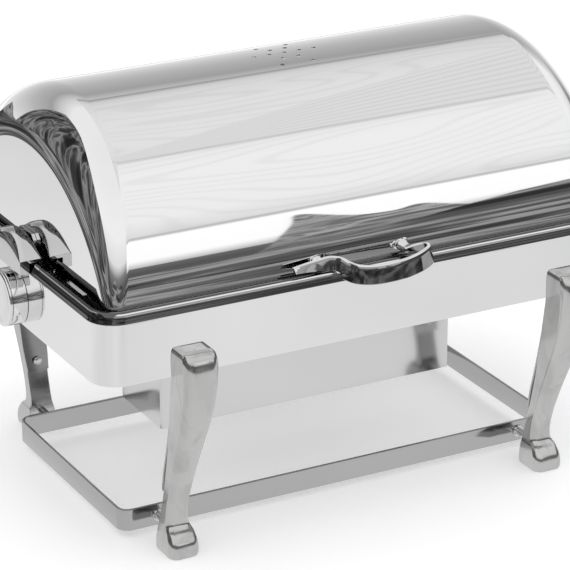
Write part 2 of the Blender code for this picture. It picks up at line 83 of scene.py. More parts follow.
# places of the studio's shapes that only the polished steel sees
STAGE_Z = 0.25
ROOM_R = 8.0
SOFTBOX_R = 4.0
SKIRTING_R = 1.35
FRONT_SHAPES_Y = -2.0
LEFT_SHAPES_X = -1.7


# ---------- material helpers ----------
def new_mat(name):
    mat = bpy.data.materials.new(name)
    mat.use_nodes = True
    nt = mat.node_tree
    return mat, nt, nt.nodes["Principled BSDF"]


def add(nt, kind, **props):
    node = nt.nodes.new(kind)
    for k, v in props.items():
        setattr(node, k, v)
    return node


def wire(nt, source, target):
    if hasattr(source, "is_output"):
        nt.links.new(source, target)
    else:
        target.default_value = source


def maths(nt, op, a, b=None, c=None):
    node = add(nt, "ShaderNodeMath", operation=op)
    for i, v in enumerate((a, b, c)):
        if v is not None:
            wire(nt, v, node.inputs[i])
    return node.outputs[0]


def ramp(nt, source, stops, interp="LINEAR"):
    node = add(nt, "ShaderNodeValToRGB")
    node.color_ramp.interpolation = interp
    els = node.color_ramp.elements
    els[0].position, els[0].color = stops[0][0], (stops[0][1],) * 3 + (1.0,)
    els[1].position, els[1].color = stops[-1][0], (stops[-1][1],) * 3 + (1.0,)
    for pos, val in stops[1:-1]:
        e = els.new(pos)
        e.color = (val, val, val, 1.0)
    nt.links.new(source, node.inputs[0])
    return node.outputs[0]


def noise(nt, vector, scale, detail=3.0, distort=0.0):
    node = add(nt, "ShaderNodeTexNoise")
    node.inputs["Scale"].default_value = scale
    node.inputs["Detail"].default_value = detail
    node.inputs["Distortion"].default_value = distort
    nt.links.new(vector, node.inputs["Vector"])
    return node.outputs["Fac"]


def stretched(nt, vector, scale):
    node = add(nt, "ShaderNodeMapping")
    node.inputs["Scale"].default_value = scale
    nt.links.new(vector, node.inputs["Vector"])
    return node.outputs["Vector"]


def steel(name, base, rough, rough_var=0.03, tone=0.02, bump=0.0, bump_scale=60.0,
          stretch=(1.0, 1.0, 1.0), pits=0.0, stain=0.0):
    mat, nt, sh = new_mat(name)
    sh.inputs["Metallic"].default_value = 1.0
    co = add(nt, "ShaderNodeTexCoord").outputs["Object"]
    grain = stretched(nt, co, stretch)
    big = noise(nt, co, 9.0)
    fine = noise(nt, grain, 420.0, 4.0)
    mixed = maths(nt, "MULTIPLY_ADD", fine, 0.35, maths(nt, "MULTIPLY", big, 0.65))
    rr = add(nt, "ShaderNodeMapRange")
    rr.inputs["To Min"].default_value = max(0.0, rough - rough_var)
    rr.inputs["To Max"].default_value = rough + rough_var
    nt.links.new(mixed, rr.inputs["Value"])
    nt.links.new(rr.outputs[0], sh.inputs["Roughness"])
    col = add(nt, "ShaderNodeMix", data_type="RGBA")
    col.inputs["A"].default_value = tuple(c * (1.0 - tone * 2.0) for c in base) + (1.0,)
    col.inputs["B"].default_value = tuple(min(1.0, c * (1.0 + tone)) for c in base) + (1.0,)
    nt.links.new(mixed, col.inputs["Factor"])
    colour = col.outputs["Result"]
    if stain > 0.0:
        cloud = noise(nt, stretched(nt, co, (1.0, 1.0, 0.45)), 38.0, 6.0, 0.8)
        dark = ramp(nt, cloud, [(0.36, 1.0 - stain), (0.52, 1.0)])
        mul = add(nt, "ShaderNodeMix", data_type="RGBA", blend_type="MULTIPLY")
        mul.inputs["Factor"].default_value = 1.0
        nt.links.new(colour, mul.inputs["A"])
        nt.links.new(dark, mul.inputs["B"])
        colour = mul.outputs["Result"]
    nt.links.new(colour, sh.inputs["Base Color"])
    height = None
    if bump > 0.0:
        height = noise(nt, grain, bump_scale, 2.0)
    if pits > 0.0:
        vor = add(nt, "ShaderNodeTexVoronoi")
        vor.inputs["Scale"].default_value = 260.0
        nt.links.new(co, vor.inputs["Vector"])
        pit = ramp(nt, vor.outputs["Distance"], [(0.0, 0.0), (0.16, 1.0)])
        gate = ramp(nt, noise(nt, co, 45.0), [(0.50, 1.0), (0.62, 0.0)])
        flat = maths(nt, "MAXIMUM", pit, gate)
        height = flat if height is None else maths(nt, "MULTIPLY_ADD", flat, pits, height)
    if height is not None:
        bp = add(nt, "ShaderNodeBump")
        bp.inputs["Strength"].default_value = bump if bump > 0.0 else 0.2
        bp.inputs["Distance"].default_value = 0.001
        nt.links.new(height, bp.inputs["Height"])
        nt.links.new(bp.outputs["Normal"], sh.inputs["Normal"])
    return mat


M_COVER = steel("cover_mirror", (0.90, 0.90, 0.90), 0.030, 0.010, 0.01, 0.012, 4.0)
M_COLLAR = steel("collar_mirror", (0.89, 0.89, 0.89), 0.055, 0.015, 0.015, 0.03, 6.0)
M_HANDLE = steel("handle_mirror", (0.86, 0.86, 0.86), 0.06, 0.02, 0.02, 0.05, 60.0)
M_LEG = steel("leg_polished_cast", (0.60, 0.60, 0.595), 0.17, 0.06, 0.05, 0.25, 55.0,
              (1.0, 1.0, 0.35), 0.6, 0.14)
M_STRIP = steel("strip_steel", (0.50, 0.50, 0.50), 0.13, 0.04, 0.04, 0.06, 30.0, (1.0, 1.0, 6.0))
# painted shade: near-black steel that paints the rim's dark reflections into its colour
M_RIM_PAINTED_SHADE = steel("rim_painted_shade", (0.13, 0.13, 0.13), 0.07, 0.02, 0.02, 0.04, 12.0)
# painted shade: darkened steel for the handle bar's sides, the rim's long outer faces and the leg echoes
M_PAINTED_SHADE_STEEL = steel("painted_shade_steel", (0.34, 0.34, 0.34), 0.07, 0.02, 0.02, 0.05, 40.0)
M_SADDLE = steel("saddle_mirror", (0.66, 0.66, 0.66), 0.07, 0.02, 0.02, 0.05, 50.0)
M_GUARD = steel("guard_sheet", (0.72, 0.72, 0.72), 0.10, 0.03, 0.03, 0.06, 8.0)
M_PAN = steel("pan_satin", (0.60, 0.60, 0.60), 0.30, 0.05, 0.03, 0.05, 90.0, (0.2, 1.0, 1.0))
M_FIX = steel("fixing_steel", (0.72, 0.72, 0.72), 0.15, 0.05, 0.03, 0.05, 80.0)


# ---------- mesh helpers ----------
def finish_mesh(name, bm, mat, angle=32.0):
    bmesh.ops.remove_doubles(bm, verts=bm.verts, dist=1e-7)
    bmesh.ops.recalc_face_normals(bm, faces=bm.faces)
    lim = math.radians(angle)
    for f in bm.faces:
        f.smooth = True
    for e in bm.edges:
        if len(e.link_faces) == 2:
            e.smooth = e.calc_face_angle(0.0) < lim
    mesh = bpy.data.meshes.new(name)
    bm.to_mesh(mesh)
    bm.free()
    mesh.materials.append(mat)
    obj = bpy.data.objects.new(name, mesh)
    bpy.context.scene.collection.objects.link(obj)
    return obj


def own(obj, body, slot, *nodes):
    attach(obj, body)
    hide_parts(*nodes)
    return obj


def loft(rings, closed=False):
    bm = bmesh.new()
    rows = [[bm.verts.new(p) for p in ring] for ring in rings]
    count = len(rows[0])
    pairs = list(zip(rows[:-1], rows[1:]))
    if closed:
        pairs.append((rows[-1], rows[0]))
    for a, b in pairs:
        for i in range(count):
            j = (i + 1) % count
            bm.faces.new((a[i], a[j], b[j], b[i]))
    if not closed:
        bm.faces.new(list(reversed(rows[0])))
        bm.faces.new(rows[-1])
    return bm


def strip(pairs):
    # band of quads between a lower and an upper row of points
    bm = bmesh.new()
    prev = None
    for low, high in pairs:
        pair = (bm.verts.new(low), bm.verts.new(high))
        if prev:
            bm.faces.new((prev[0], pair[0], pair[1], prev[1]))
        prev = pair
    return bm


def rounded_rect(hx, hy, r, steps, z):
    pts = []
    corners = ((hx - r, hy - r, 0.0), (-hx + r, hy - r, 90.0),
               (-hx + r, -hy + r, 180.0), (hx - r, -hy + r, 270.0))
    for px, py, start in corners:
        for k in range(steps + 1):
            a = math.radians(start + 90.0 * k / steps)
            pts.append((px + r * math.cos(a), py + r * math.sin(a), z))
    return pts


def circle_x(x, cy, cz, r, steps):
    turn = 2.0 * math.pi / steps
    return [(x, cy + r * math.cos(turn * k), cz + r * math.sin(turn * k)) for k in range(steps)]


def circle_y(y, cx, cz, r, steps):
    turn = 2.0 * math.pi / steps
    return [(cx + r * math.cos(turn * k), y, cz + r * math.sin(turn * k)) for k in range(steps)]


def smooth_rows(rows, per):
    # Catmull-Rom through rows of numbers
    out = []
    n = len(rows)
    for i in range(n - 1):
        p0, p1, p2, p3 = rows[max(i - 1, 0)], rows[i], rows[i + 1], rows[min(i + 2, n - 1)]
        for k in range(per):
            t = k / per
            q = []
            for a, b, c, d in zip(p0, p1, p2, p3):
                q.append(0.5 * (2.0 * b + (c - a) * t + (2.0 * a - 5.0 * b + 4.0 * c - d) * t * t
                                + (-a + 3.0 * b - 3.0 * c + d) * t * t * t))
            out.append(tuple(q))
    out.append(tuple(rows[-1]))
    return out


# ---------- rolling cover ----------
def fillet_at(sin_up):
    return FILLET_LOW + FILLET_ADD * max(sin_up, 0.0) ** 0.8


def cover_profile(offset, angle, fillet_steps, mid_steps):
    fillet = fillet_at(math.sin(angle))
    f = fillet - offset
    x_mid = COVER_HX - fillet
    left = []
    for k in range(fillet_steps + 1):
        a = 0.5 * math.pi * k / fillet_steps
        left.append((-x_mid - f * math.cos(a), COVER_R - fillet + f * math.sin(a)))
    mids = [(-x_mid + 2.0 * x_mid * k / mid_steps, COVER_R - offset) for k in range(1, mid_steps)]
    return left + mids + [(-x, r) for x, r in reversed(left)]


def cover_level(p):
    y, z = p[1], p[2] - PIVOT_Z
    r = math.hypot(y, z)
    f = fillet_at(z / r)
    dx = abs(p[0]) - (COVER_HX - f)
    dr = r - (COVER_R - f)
    if dx <= 0.0:
        return dr - f
    if dr <= 0.0:
        return dx - f
    return math.hypot(dx, dr) - f


def cover_normal(p, face_n):
    if math.hypot(p[1], p[2] - PIVOT_Z) < 0.02:
        return face_n
    step = 2e-5
    g = []
    for axis in range(3):
        hi = [p[0], p[1], p[2]]
        lo = [p[0], p[1], p[2]]
        hi[axis] += step
        lo[axis] -= step
        g.append(cover_level(hi) - cover_level(lo))
    n = Vector(g)
    if n.length < 1e-9:
        return face_n
    n.normalize()
    d = n.dot(face_n)
    if d > 0.7:
        return n
    if d < -0.7:
        return -n
    return face_n


def vent_spots():
    spots = [(0.0, 0.0)]
    for arm in range(6):
        a = math.radians(60.0 * arm)
        for step in (1, 2):
            spots.append((step * VENT_PITCH * math.cos(a), step * VENT_PITCH * math.sin(a)))
    return spots


def make_cover():
    arc = 120
    bm = bmesh.new()

    def shell(offset):
        columns = []
        for k in range(arc + 1):
            a = A0 + (math.pi - 2.0 * A0) * k / arc
            columns.append([bm.verts.new((x, -r * math.cos(a), PIVOT_Z + r * math.sin(a)))
                            for x, r in cover_profile(offset, a, 14, 12)])
        return [list(row) for row in zip(*columns)]

    outer = shell(0.0)
    inner = shell(COVER_T)
    last = len(outer) - 1
    for i in range(last):
        for k in range(arc):
            bm.faces.new((outer[i][k], outer[i + 1][k], outer[i + 1][k + 1], outer[i][k + 1]))
            bm.faces.new((inner[i][k], inner[i][k + 1], inner[i + 1][k + 1], inner[i + 1][k]))
        for k in (0, arc):
            bm.faces.new((outer[i][k], outer[i + 1][k], inner[i + 1][k], inner[i][k]))
    for i in (0, last):
        bm.faces.new(outer[i])
        bm.faces.new(inner[i])
        bm.faces.new((outer[i][0], outer[i][arc], inner[i][arc], inner[i][0]))
    obj = finish_mesh("cover_shell", bm, M_COVER, 40.0)
    tool_bm = bmesh.new()
    for sx, sarc in vent_spots():
        ang = VENT_ANGLE + sarc / COVER_R
        rows = []
        for rad in (COVER_R - 0.006, COVER_R + 0.006):
            row = []
            for k in range(20):
                t = 2.0 * math.pi * k / 20.0
                dx, dt = VENT_R * math.cos(t), VENT_R * math.sin(t)
                row.append(tool_bm.verts.new((
                    sx + dx, -rad * math.cos(ang) + dt * math.sin(ang),
                    PIVOT_Z + rad * math.sin(ang) + dt * math.cos(ang))))
            rows.append(row)
        a, b = rows
        for i in range(20):
            j = (i + 1) % 20
            tool_bm.faces.new((a[i], a[j], b[j], b[i]))
        tool_bm.faces.new(list(reversed(a)))
        tool_bm.faces.new(b)
    tool = finish_mesh("cover_tool", tool_bm, M_COVER)
    mod = obj.modifiers.new("holes", "BOOLEAN")
    mod.operation = "DIFFERENCE"
    mod.solver = "EXACT"
    mod.object = tool
    graph = bpy.context.evaluated_depsgraph_get()
    mesh = bpy.data.meshes.new_from_object(obj.evaluated_get(graph))
    obj.modifiers.clear()
    obj.data = mesh
    bpy.data.objects.remove(tool, do_unlink=True)
    normals = [None] * len(mesh.loops)
    for poly in mesh.polygons:
        fn = poly.normal.copy()
        for li in poly.loop_indices:
            normals[li] = cover_normal(mesh.vertices[mesh.loops[li].vertex_index].co, fn)
    mesh.normals_split_custom_set(normals)
    return obj


own(make_cover(), "cover", "cover_mirror", "roll_cover")


# ---------- body collar ----------
def make_collar():
    pts = [(0.0, 0.0, 0.2000), (0.0, 0.0, 0.2040), (0.0, 0.0, 0.2590), (0.0, 0.0, 0.2618)]
    for ox, z in smooth_rows([(0.0000, 0.2618), (0.0010, 0.2621), (0.0016, 0.2632), (0.0013, 0.2652),
                              (0.0008, 0.2680), (0.0000, 0.2708), (-0.0014, 0.2728),
                              (-0.0040, 0.2738)], 5):
        pts.append((ox, ox, z))
    pts += [
        (-0.0045, -0.0056, 0.2738), (-0.0060, -0.0086, 0.2731), (-0.0070, -0.0104, 0.2716),
        (-0.0075, -0.0112, 0.2692), (-0.0075, -0.0112, 0.2652), (-0.0065, -0.0102, 0.2650),
        (-0.0062, -0.0098, 0.2692), (-0.0012, -0.0012, 0.2688), (-0.0012, -0.0012, 0.2000),
    ]
    rings = []
    for ox, oy, z in pts:
        rings.append(rounded_rect(COLLAR_HX + ox, COLLAR_HY + oy, COLLAR_R + max(ox, oy), 24, z))
    obj = finish_mesh("collar_shell", loft(rings, closed=True), M_COLLAR, 28.0)
    obj.data.materials.append(M_RIM_PAINTED_SHADE)
    obj.data.materials.append(M_PAINTED_SHADE_STEEL)
    # painted shade: the rim's top, inner side, ends and corners get the darkest painted steel in place of
    # dark reflections, its long outer faces a less dark painted steel
    for poly in obj.data.polygons:
        x, y, z = poly.center
        inward = max(abs(x) / COLLAR_HX, abs(y) / COLLAR_HY) < 0.985
        if z > RIM_TOP_Z or (z > RIM_INNER_Z and inward):
            poly.material_index = 1
        elif RIM_FACE_Z0 < z < RIM_FACE_Z1:
            poly.material_index = 2 if abs(poly.normal.y) > 0.8 else 1
    return obj


own(make_collar(), "stand", "collar_mirror", "body_collar")

# ---------- saddles over the rim, side blocks with their caps ----------
def make_saddle(side, tag):
    rings = []
    for k in range(41):
        y = SADDLE_HY * math.sin((-1.0 + 2.0 * k / 40.0) * math.pi / 2.0)
        rise = max(0.0008, PIVOT_Z + math.sqrt(SADDLE_R ** 2 - y ** 2) - RIM_Z1 - 0.0030)
        ring = [(side * 0.2886, y, 0.2300)]
        for j in range(25):
            a = math.pi * (1.0 - j / 24.0)
            wide = math.copysign(abs(math.cos(a)) ** 0.6, math.cos(a))
            ring.append((side * (SADDLE_X + 0.0117 * wide), y,
                         RIM_Z1 + 0.0030 + rise * math.sin(a) ** 0.6))
        ring += [(side * 0.3120, y, 0.2640), (side * 0.3024, y, 0.2640),
                 (side * 0.3024, y, RIM_Z1 + 0.0008), (side * 0.2920, y, RIM_Z1 + 0.0008),
                 (side * 0.2920, y, 0.2300)]
        rings.append(ring)
    return finish_mesh("saddle_strap_" + tag, loft(rings), M_SADDLE, 40.0)


def make_block(side, tag):
    profile = [
        (0.3003, BLOCK_R - 0.0004), (0.3004, BLOCK_R - 0.0001), (0.3008, BLOCK_R), (0.3080, BLOCK_R),
        (0.3150, BLOCK_R), (0.3155, BLOCK_R - 0.0001), (0.3156, BLOCK_R - 0.0004),
    ]
    rings = [circle_x(side * x, 0.0, BLOCK_Z, r, 72) for x, r in profile]
    return finish_mesh("block_" + tag, loft(rings), M_HANDLE, 35.0)


def make_block_cap(side, tag):
    profile = [(0.3160, BLOCK_R - 0.0004), (0.3161, BLOCK_R - 0.0001), (0.3165, BLOCK_R)]
    for k in range(7):
        a = math.radians(15.0 * k)
        profile.append((0.3172 + 0.0018 * math.sin(a), BLOCK_R - 0.0018 * (1.0 - math.cos(a))))
    profile += [(0.3190, 0.0240), (0.3187, 0.0234), (0.3187, 0.0100)]
    rings = [circle_x(side * x, 0.0, BLOCK_Z, r, 72) for x, r in profile]
    return finish_mesh("block_cap_" + tag, loft(rings), M_HANDLE, 35.0)


for side, tag in ((-1.0, "left"), (1.0, "right")):
    own(make_saddle(side, tag), "stand", "handle_polished", "hinge_saddle_" + tag)
    own(make_block(side, tag), "stand", "handle_polished", "side_block_" + tag)
    own(make_block_cap(side, tag), "stand", "handle_polished", "side_block_cap_" + tag)


# ---------- front handle and its posts ----------
# plan of the bar's middle line, from its free left end to the curl over the right post
BAR_PLAN = [
    (-0.0930, -0.1935), (-0.0760, -0.1915), (-0.0600, -0.1912), (-0.0500, -0.1930),
    (-0.0452, -0.2000), (-0.0440, -0.2120), (-0.0400, -0.2235), (-0.0300, -0.2310),
    (-0.0150, -0.2337), (0.0050, -0.2322), (0.0250, -0.2260), (0.0420, -0.2165),
    (0.0505, -0.2080), (0.0500, -0.1985), (0.0415, -0.1940), (0.0280, -0.1945),
]
# section of the bar: across in half thicknesses, up in half heights
BAR_SECTION = [
    (1.0, -0.90), (1.0, 0.0), (1.0, 0.88), (0.7, 0.97), (0.0, 1.0), (-0.7, 0.97), (-1.0, 0.88),
    (-1.06, 0.5), (-1.08, 0.0), (-1.04, -0.5), (-1.0, -0.9), (-0.6, -1.0), (0.6, -1.0),
]
POSTS = (("left", -0.0620, -0.1912), ("right", 0.0335, -0.1940))


def make_handle():
    path = smooth_rows(BAR_PLAN, 14)
    rings = []
    for i, (px, py) in enumerate(path):
        ax, ay = path[max(i - 1, 0)]
        bx, by = path[min(i + 1, len(path) - 1)]
        length = math.hypot(bx - ax, by - ay)
        nx, ny = -(by - ay) / length, (bx - ax) / length
        ends = min(1.0, 0.35 + 4.0 * min(i, len(path) - 1 - i) / len(path))
        drop = min(1.0, max(0.0, (-0.2028 - py) / 0.0060))
        z0 = HANDLE_Z0 - HANDLE_DROP * drop * drop * (3.0 - 2.0 * drop)
        mid = 0.5 * (z0 + HANDLE_Z1)
        half_height = 0.5 * (HANDLE_Z1 - z0) * ends
        ring = []
        for across, up in BAR_SECTION:
            shift = BAR_HALF * across + BAR_LEAN * up
            ring.append((px + nx * shift, py + ny * shift, mid + half_height * up))
        rings.append(ring)
    obj = finish_mesh("handle_bar", loft(rings), M_HANDLE, 38.0)
    obj.data.materials.append(M_PAINTED_SHADE_STEEL)
    # painted shade: every face of the bar but its top gets the darkened steel
    for poly in obj.data.polygons:
        if poly.normal.z < 0.6:
            poly.material_index = 1
    return obj


def make_post(tag, px, bar_y):
    surface_y = -math.sqrt(COVER_R ** 2 - (POST_Z - PIVOT_Z) ** 2)
    y_in, y_out = surface_y - 0.0012, bar_y + BAR_HALF + GAP
    profile = [
        (y_in, 0.0052), (y_in - 0.0006, 0.0058), (y_in - 0.0018, 0.0056), (y_out + 0.0024, 0.0044),
        (y_out, 0.0046),
    ]
    rings = [circle_y(y, px, POST_Z, r, 28) for y, r in profile]
    return finish_mesh("post_" + tag, loft(rings), M_HANDLE, 40.0)


own(make_handle(), "cover", "handle_polished", "front_handle")
for tag, px, bar_y in POSTS:
    own(make_post(tag, px, bar_y), "cover", "handle_polished", "handle_post_" + tag)


# ---------- cast legs, straps, fixings ----------
LEG = [
    # height, inner face, outer face, half width, outer rounding
    (0.2325, 0.2062, 0.2190, 0.0085, 0.0035),
    (0.2323, 0.2030, 0.2225, 0.0115, 0.0050),
    (0.2314, 0.1998, 0.2270, 0.0152, 0.0070),
    (0.2296, 0.1986, 0.2302, 0.0170, 0.0080),
    (0.2265, 0.1983, 0.2326, 0.0180, 0.0085),
    (0.2210, 0.1982, 0.2348, 0.0184, 0.0090),
    (0.2120, 0.1982, 0.2360, 0.0184, 0.0100),
    (0.1990, 0.1978, 0.2352, 0.0180, 0.0100),
    (0.1820, 0.1942, 0.2328, 0.0172, 0.0100),
    (0.1600, 0.1895, 0.2252, 0.0162, 0.0090),
    (0.1350, 0.1838, 0.2146, 0.0148, 0.0090),
    (0.1100, 0.1775, 0.2026, 0.0135, 0.0080),
    (0.0850, 0.1705, 0.1908, 0.0126, 0.0070),
    (0.0600, 0.1636, 0.1806, 0.0120, 0.0060),
    (0.0420, 0.1584, 0.1762, 0.0119, 0.0060),
    (0.0310, 0.1560, 0.1762, 0.0124, 0.0060),
    (0.0265, 0.1556, 0.1796, 0.0134, 0.0062),
    (0.0240, 0.1556, 0.1838, 0.0143, 0.0068),
    (0.0205, 0.1556, 0.1872, 0.0151, 0.0074),
    (0.0150, 0.1556, 0.1908, 0.0161, 0.0080),
    (0.0085, 0.1556, 0.1922, 0.0165, 0.0082),
    (0.0030, 0.1558, 0.1922, 0.0164, 0.0082),
    (0.0006, 0.1566, 0.1912, 0.0157, 0.0080),
    (0.0000, 0.1575, 0.1905, 0.0150, 0.0080),
]


def leg_inner(z):
    for upper_row, lower_row in zip(LEG[:-1], LEG[1:]):
        if lower_row[0] <= z <= upper_row[0]:
            t = (z - lower_row[0]) / (upper_row[0] - lower_row[0])
            return lower_row[1] + (upper_row[1] - lower_row[1]) * t
    return LEG[-1][1]


def leg_ring(sx, sy, z, yin, yout, hw, r):
    r_in = 0.0018
    pts = []
    for px, py, rad, start in (
        (hw - r, yout - r, r, 0.0), (-hw + r, yout - r, r, 90.0),
        (-hw + r_in, yin + r_in, r_in, 180.0), (hw - r_in, yin + r_in, r_in, 270.0),
    ):
        steps = 10
        for k in range(steps + 1):
            a = math.radians(start + 90.0 * k / steps)
            x, y = px + rad * math.cos(a), py + rad * math.sin(a)
            if y > yout - r:
                # the front face is slightly crowned
                y -= 0.0016 * (x / hw) ** 2
            pts.append((sx * (LEG_X + x), sy * y, z))
    return pts


LEG_ROWS = smooth_rows(LEG, 6)
WALL_IN = COLLAR_HY - COLLAR_WALL


def make_leg(sx, sy, tag):
    obj = finish_mesh("cast_leg_" + tag, loft([leg_ring(sx, sy, *row) for row in LEG_ROWS]), M_LEG, 45.0)
    # the real leg stays out of the reflections; its darker echo stands in as a painted reflection
    obj.visible_glossy = False
    return obj


def make_leg_echo(sx, sy, tag):
    # slimmer copy of the lower leg in the darkened steel, seen only in the polished steel: a painted
    # reflection of the leg
    rings = []
    for z, y_in, y_out, half, r in LEG_ROWS:
        if ECHO_Z0 < z < ECHO_Z1:
            rings.append(leg_ring(sx, sy, z, y_in + ECHO_INSET, y_out - ECHO_INSET,
                                  half - ECHO_INSET, r - 0.0010))
    return finish_mesh("leg_echo_" + tag, loft(rings), M_PAINTED_SHADE_STEEL, 45.0)


def make_strap(sx, sy, tag):
    rows = []
    for z in (0.2300, 0.2150, 0.2020, 0.1970, 0.1820, 0.1600, 0.1350, 0.1100, 0.0850, 0.0650):
        face = WALL_IN - GAP if z > 0.2 else min(leg_inner(z), WALL_IN) - STRAP_EDGE
        rows.append((z, face, 0.0135 if z > 0.0660 else 0.0120))
    edge, thick = STRAP_EDGE, STRAP_T
    rings = []
    for z, face, w in smooth_rows(rows, 6):
        ring = []
        for x, y in ((-w, edge), (-w + edge, 0.0), (w - edge, 0.0), (w, edge), (w, thick - edge),
                     (w - edge, thick), (-w + edge, thick), (-w, thick - edge)):
            ring.append((sx * (LEG_X + x), sy * (min(face, WALL_IN - GAP) - y), z))
        rings.append(ring)
    return finish_mesh("strap_" + tag, loft(rings), M_STRIP, 40.0)


def make_rivet(sx, sy, tag):
    head_y = leg_inner(RIVET_Z) - STRAP_EDGE - STRAP_T - GAP - 0.0012
    rings = [circle_y(sy * head_y, LEG_X * sx, RIVET_Z, RIVET_R, 28)]
    for k in range(1, 8):
        a = math.radians(12.0 * k)
        rings.append(circle_y(sy * (head_y - 0.0006 - 0.0020 * math.sin(a)), LEG_X * sx, RIVET_Z,
                              RIVET_R * math.cos(a), 28))
    return finish_mesh("rivet_" + tag, loft(rings), M_FIX, 50.0)


def make_stud(sx, sy, tag):
    profile = [
        (RING_HY + GAP, 0.0058), (RING_HY + 0.0007, 0.0062), (RING_HY + 0.0026, 0.0062),
        (RING_HY + 0.0030, 0.0058), (RING_HY + 0.0031, 0.0040), (STUD_END_Y - GAP, 0.0040),
    ]
    rings = [circle_y(sy * y, LEG_X * sx, STUD_Z, r, 28) for y, r in profile]
    return finish_mesh("stud_" + tag, loft(rings), M_FIX, 35.0)


echoes = []
for sx, xtag in ((-1.0, "left"), (1.0, "right")):
    for sy, ytag in ((-1.0, "front"), (1.0, "rear")):
        tag = ytag + "_" + xtag
        own(make_leg(sx, sy, tag), "stand", "leg_cast", "leg_" + tag)
        echoes.append(make_leg_echo(sx, sy, tag))
        own(make_strap(sx, sy, tag), "stand", "strap_steel", "leg_strap_" + tag)
        own(make_rivet(sx, sy, tag), "stand", "fixing_steel", "strap_rivet_" + tag)
        own(make_stud(sx, sy, tag), "stand", "fixing_steel", "ring_stud_" + tag)

# ---------- base ring ----------
rings = []
for off, z in (
    (0.0, RING_Z0 + 0.0005), (0.0, RING_Z1 - 0.0005), (-0.00015, RING_Z1 - 0.00015),
    (-0.0005, RING_Z1), (-RING_T + 0.0005, RING_Z1), (-RING_T + 0.00015, RING_Z1 - 0.00015),
    (-RING_T, RING_Z1 - 0.0005), (-RING_T, RING_Z0 + 0.0005),
    (-RING_T + 0.00015, RING_Z0 + 0.00015), (-RING_T + 0.0005, RING_Z0), (-0.0005, RING_Z0),
    (-0.00015, RING_Z0 + 0.00015),
):
    rings.append(rounded_rect(RING_HX + off, RING_HY + off, RING_R + off, 16, z))
own(finish_mesh("ring_strip", loft(rings, closed=True), M_STRIP, 30.0), "stand", "strap_steel",
    "base_ring")

# ---------- CAD nodes that keep their shape ----------
for name, obj in NODES.items():
    mat = None
    if name.startswith(("water", "food", "front_ledge", "end_ledge")):
        mat = M_PAN
    elif name.startswith(("leg_nut", "pivot_pin", "hinge_arm")):
        mat = M_FIX
    elif name == "flame_guard":
        mat = M_GUARD
    if mat is not None:
        obj.data.materials.clear()
        obj.data.materials.append(mat)

# ---------- stage: floor, room and reflector cards ----------
floor_bm = bmesh.new()
bmesh.ops.create_grid(floor_bm, x_segments=2, y_segments=2, size=9.0)
floor = finish_mesh("floor", floor_bm, new_mat("floor_pale")[0])
sh = floor.data.materials[0].node_tree.nodes["Principled BSDF"]
sh.inputs["Base Color"].default_value = (0.74, 0.74, 0.74, 1.0)
sh.inputs["Roughness"].default_value = 0.8
sh.inputs["Specular IOR Level"].default_value = 0.05
sh.inputs["Emission Color"].default_value = (1.0, 1.0, 1.0, 1.0)
sh.inputs["Emission Strength"].default_value = 0.36


def glow(name):
    mat = bpy.data.materials.new(name)
    mat.use_nodes = True
    nt = mat.node_tree
    nt.nodes.remove(nt.nodes["Principled BSDF"])
    em = add(nt, "ShaderNodeEmission")
    nt.links.new(em.outputs[0], nt.nodes["Material Output"].inputs["Surface"])
    pos = add(nt, "ShaderNodeTexCoord").outputs["Object"]
    xyz = add(nt, "ShaderNodeSeparateXYZ")
    nt.links.new(pos, xyz.inputs[0])
    return mat, nt, em, pos, xyz.outputs


def card(obj):
    # seen in the polished steel only
    obj.visible_camera = False
    obj.visible_diffuse = False
    obj.visible_shadow = False


# the lower legs again, as the polished steel shows them: darker painted reflections
for echo in echoes:
    card(echo)

# tone of the table top in the polished steel
mat, nt, em, pos, (X, Y, Z) = glow("table_tone")
tone = noise(nt, pos, 1.3, 2.0)
nt.links.new(ramp(nt, tone, [(0.30, 0.70), (0.50, 0.78), (0.70, 0.86)]), em.inputs["Color"])
bm = bmesh.new()
bmesh.ops.create_grid(bm, x_segments=2, y_segments=2, size=3.0)
table_tone = finish_mesh("table_tone", bm, mat)
table_tone.location = (0.0, 0.0, 0.0006)
card(table_tone)

# room: light from above, a dark belt near the horizon, lighter behind
mat, nt, em, pos, (X, Y, Z) = glow("room")
rad = maths(nt, "SQRT", maths(nt, "ADD", maths(nt, "MULTIPLY", X, X), maths(nt, "MULTIPLY", Y, Y)))
elev = maths(nt, "MULTIPLY", maths(nt, "ARCTAN2", Z, rad), 180.0 / math.pi)
level = maths(nt, "DIVIDE", elev, 90.0)
sky = ramp(nt, level, [(0.0, 0.16), (0.10, 0.10), (0.17, 0.22), (0.24, 0.80), (0.40, 0.96),
                       (0.75, 0.90), (1.0, 0.88)])
back = ramp(nt, level, [(0.0, 0.82), (0.08, 0.68), (0.22, 0.50), (0.38, 0.38), (0.46, 0.60), (0.60, 0.9)])
side_y = maths(nt, "DIVIDE", Y, ROOM_R)
rear = ramp(nt, side_y, [(0.25, 0.0), (0.55, 1.0)])
mix = add(nt, "ShaderNodeMix", data_type="RGBA")
nt.links.new(rear, mix.inputs["Factor"])
nt.links.new(sky, mix.inputs["A"])
nt.links.new(back, mix.inputs["B"])
nt.links.new(mix.outputs["Result"], em.inputs["Color"])
em.inputs["Strength"].default_value = 1.0
bm = bmesh.new()
bmesh.ops.create_uvsphere(bm, u_segments=48, v_segments=24, radius=ROOM_R)
room = finish_mesh("room", bm, mat)
room.location = (0.0, 0.0, STAGE_Z)
card(room)

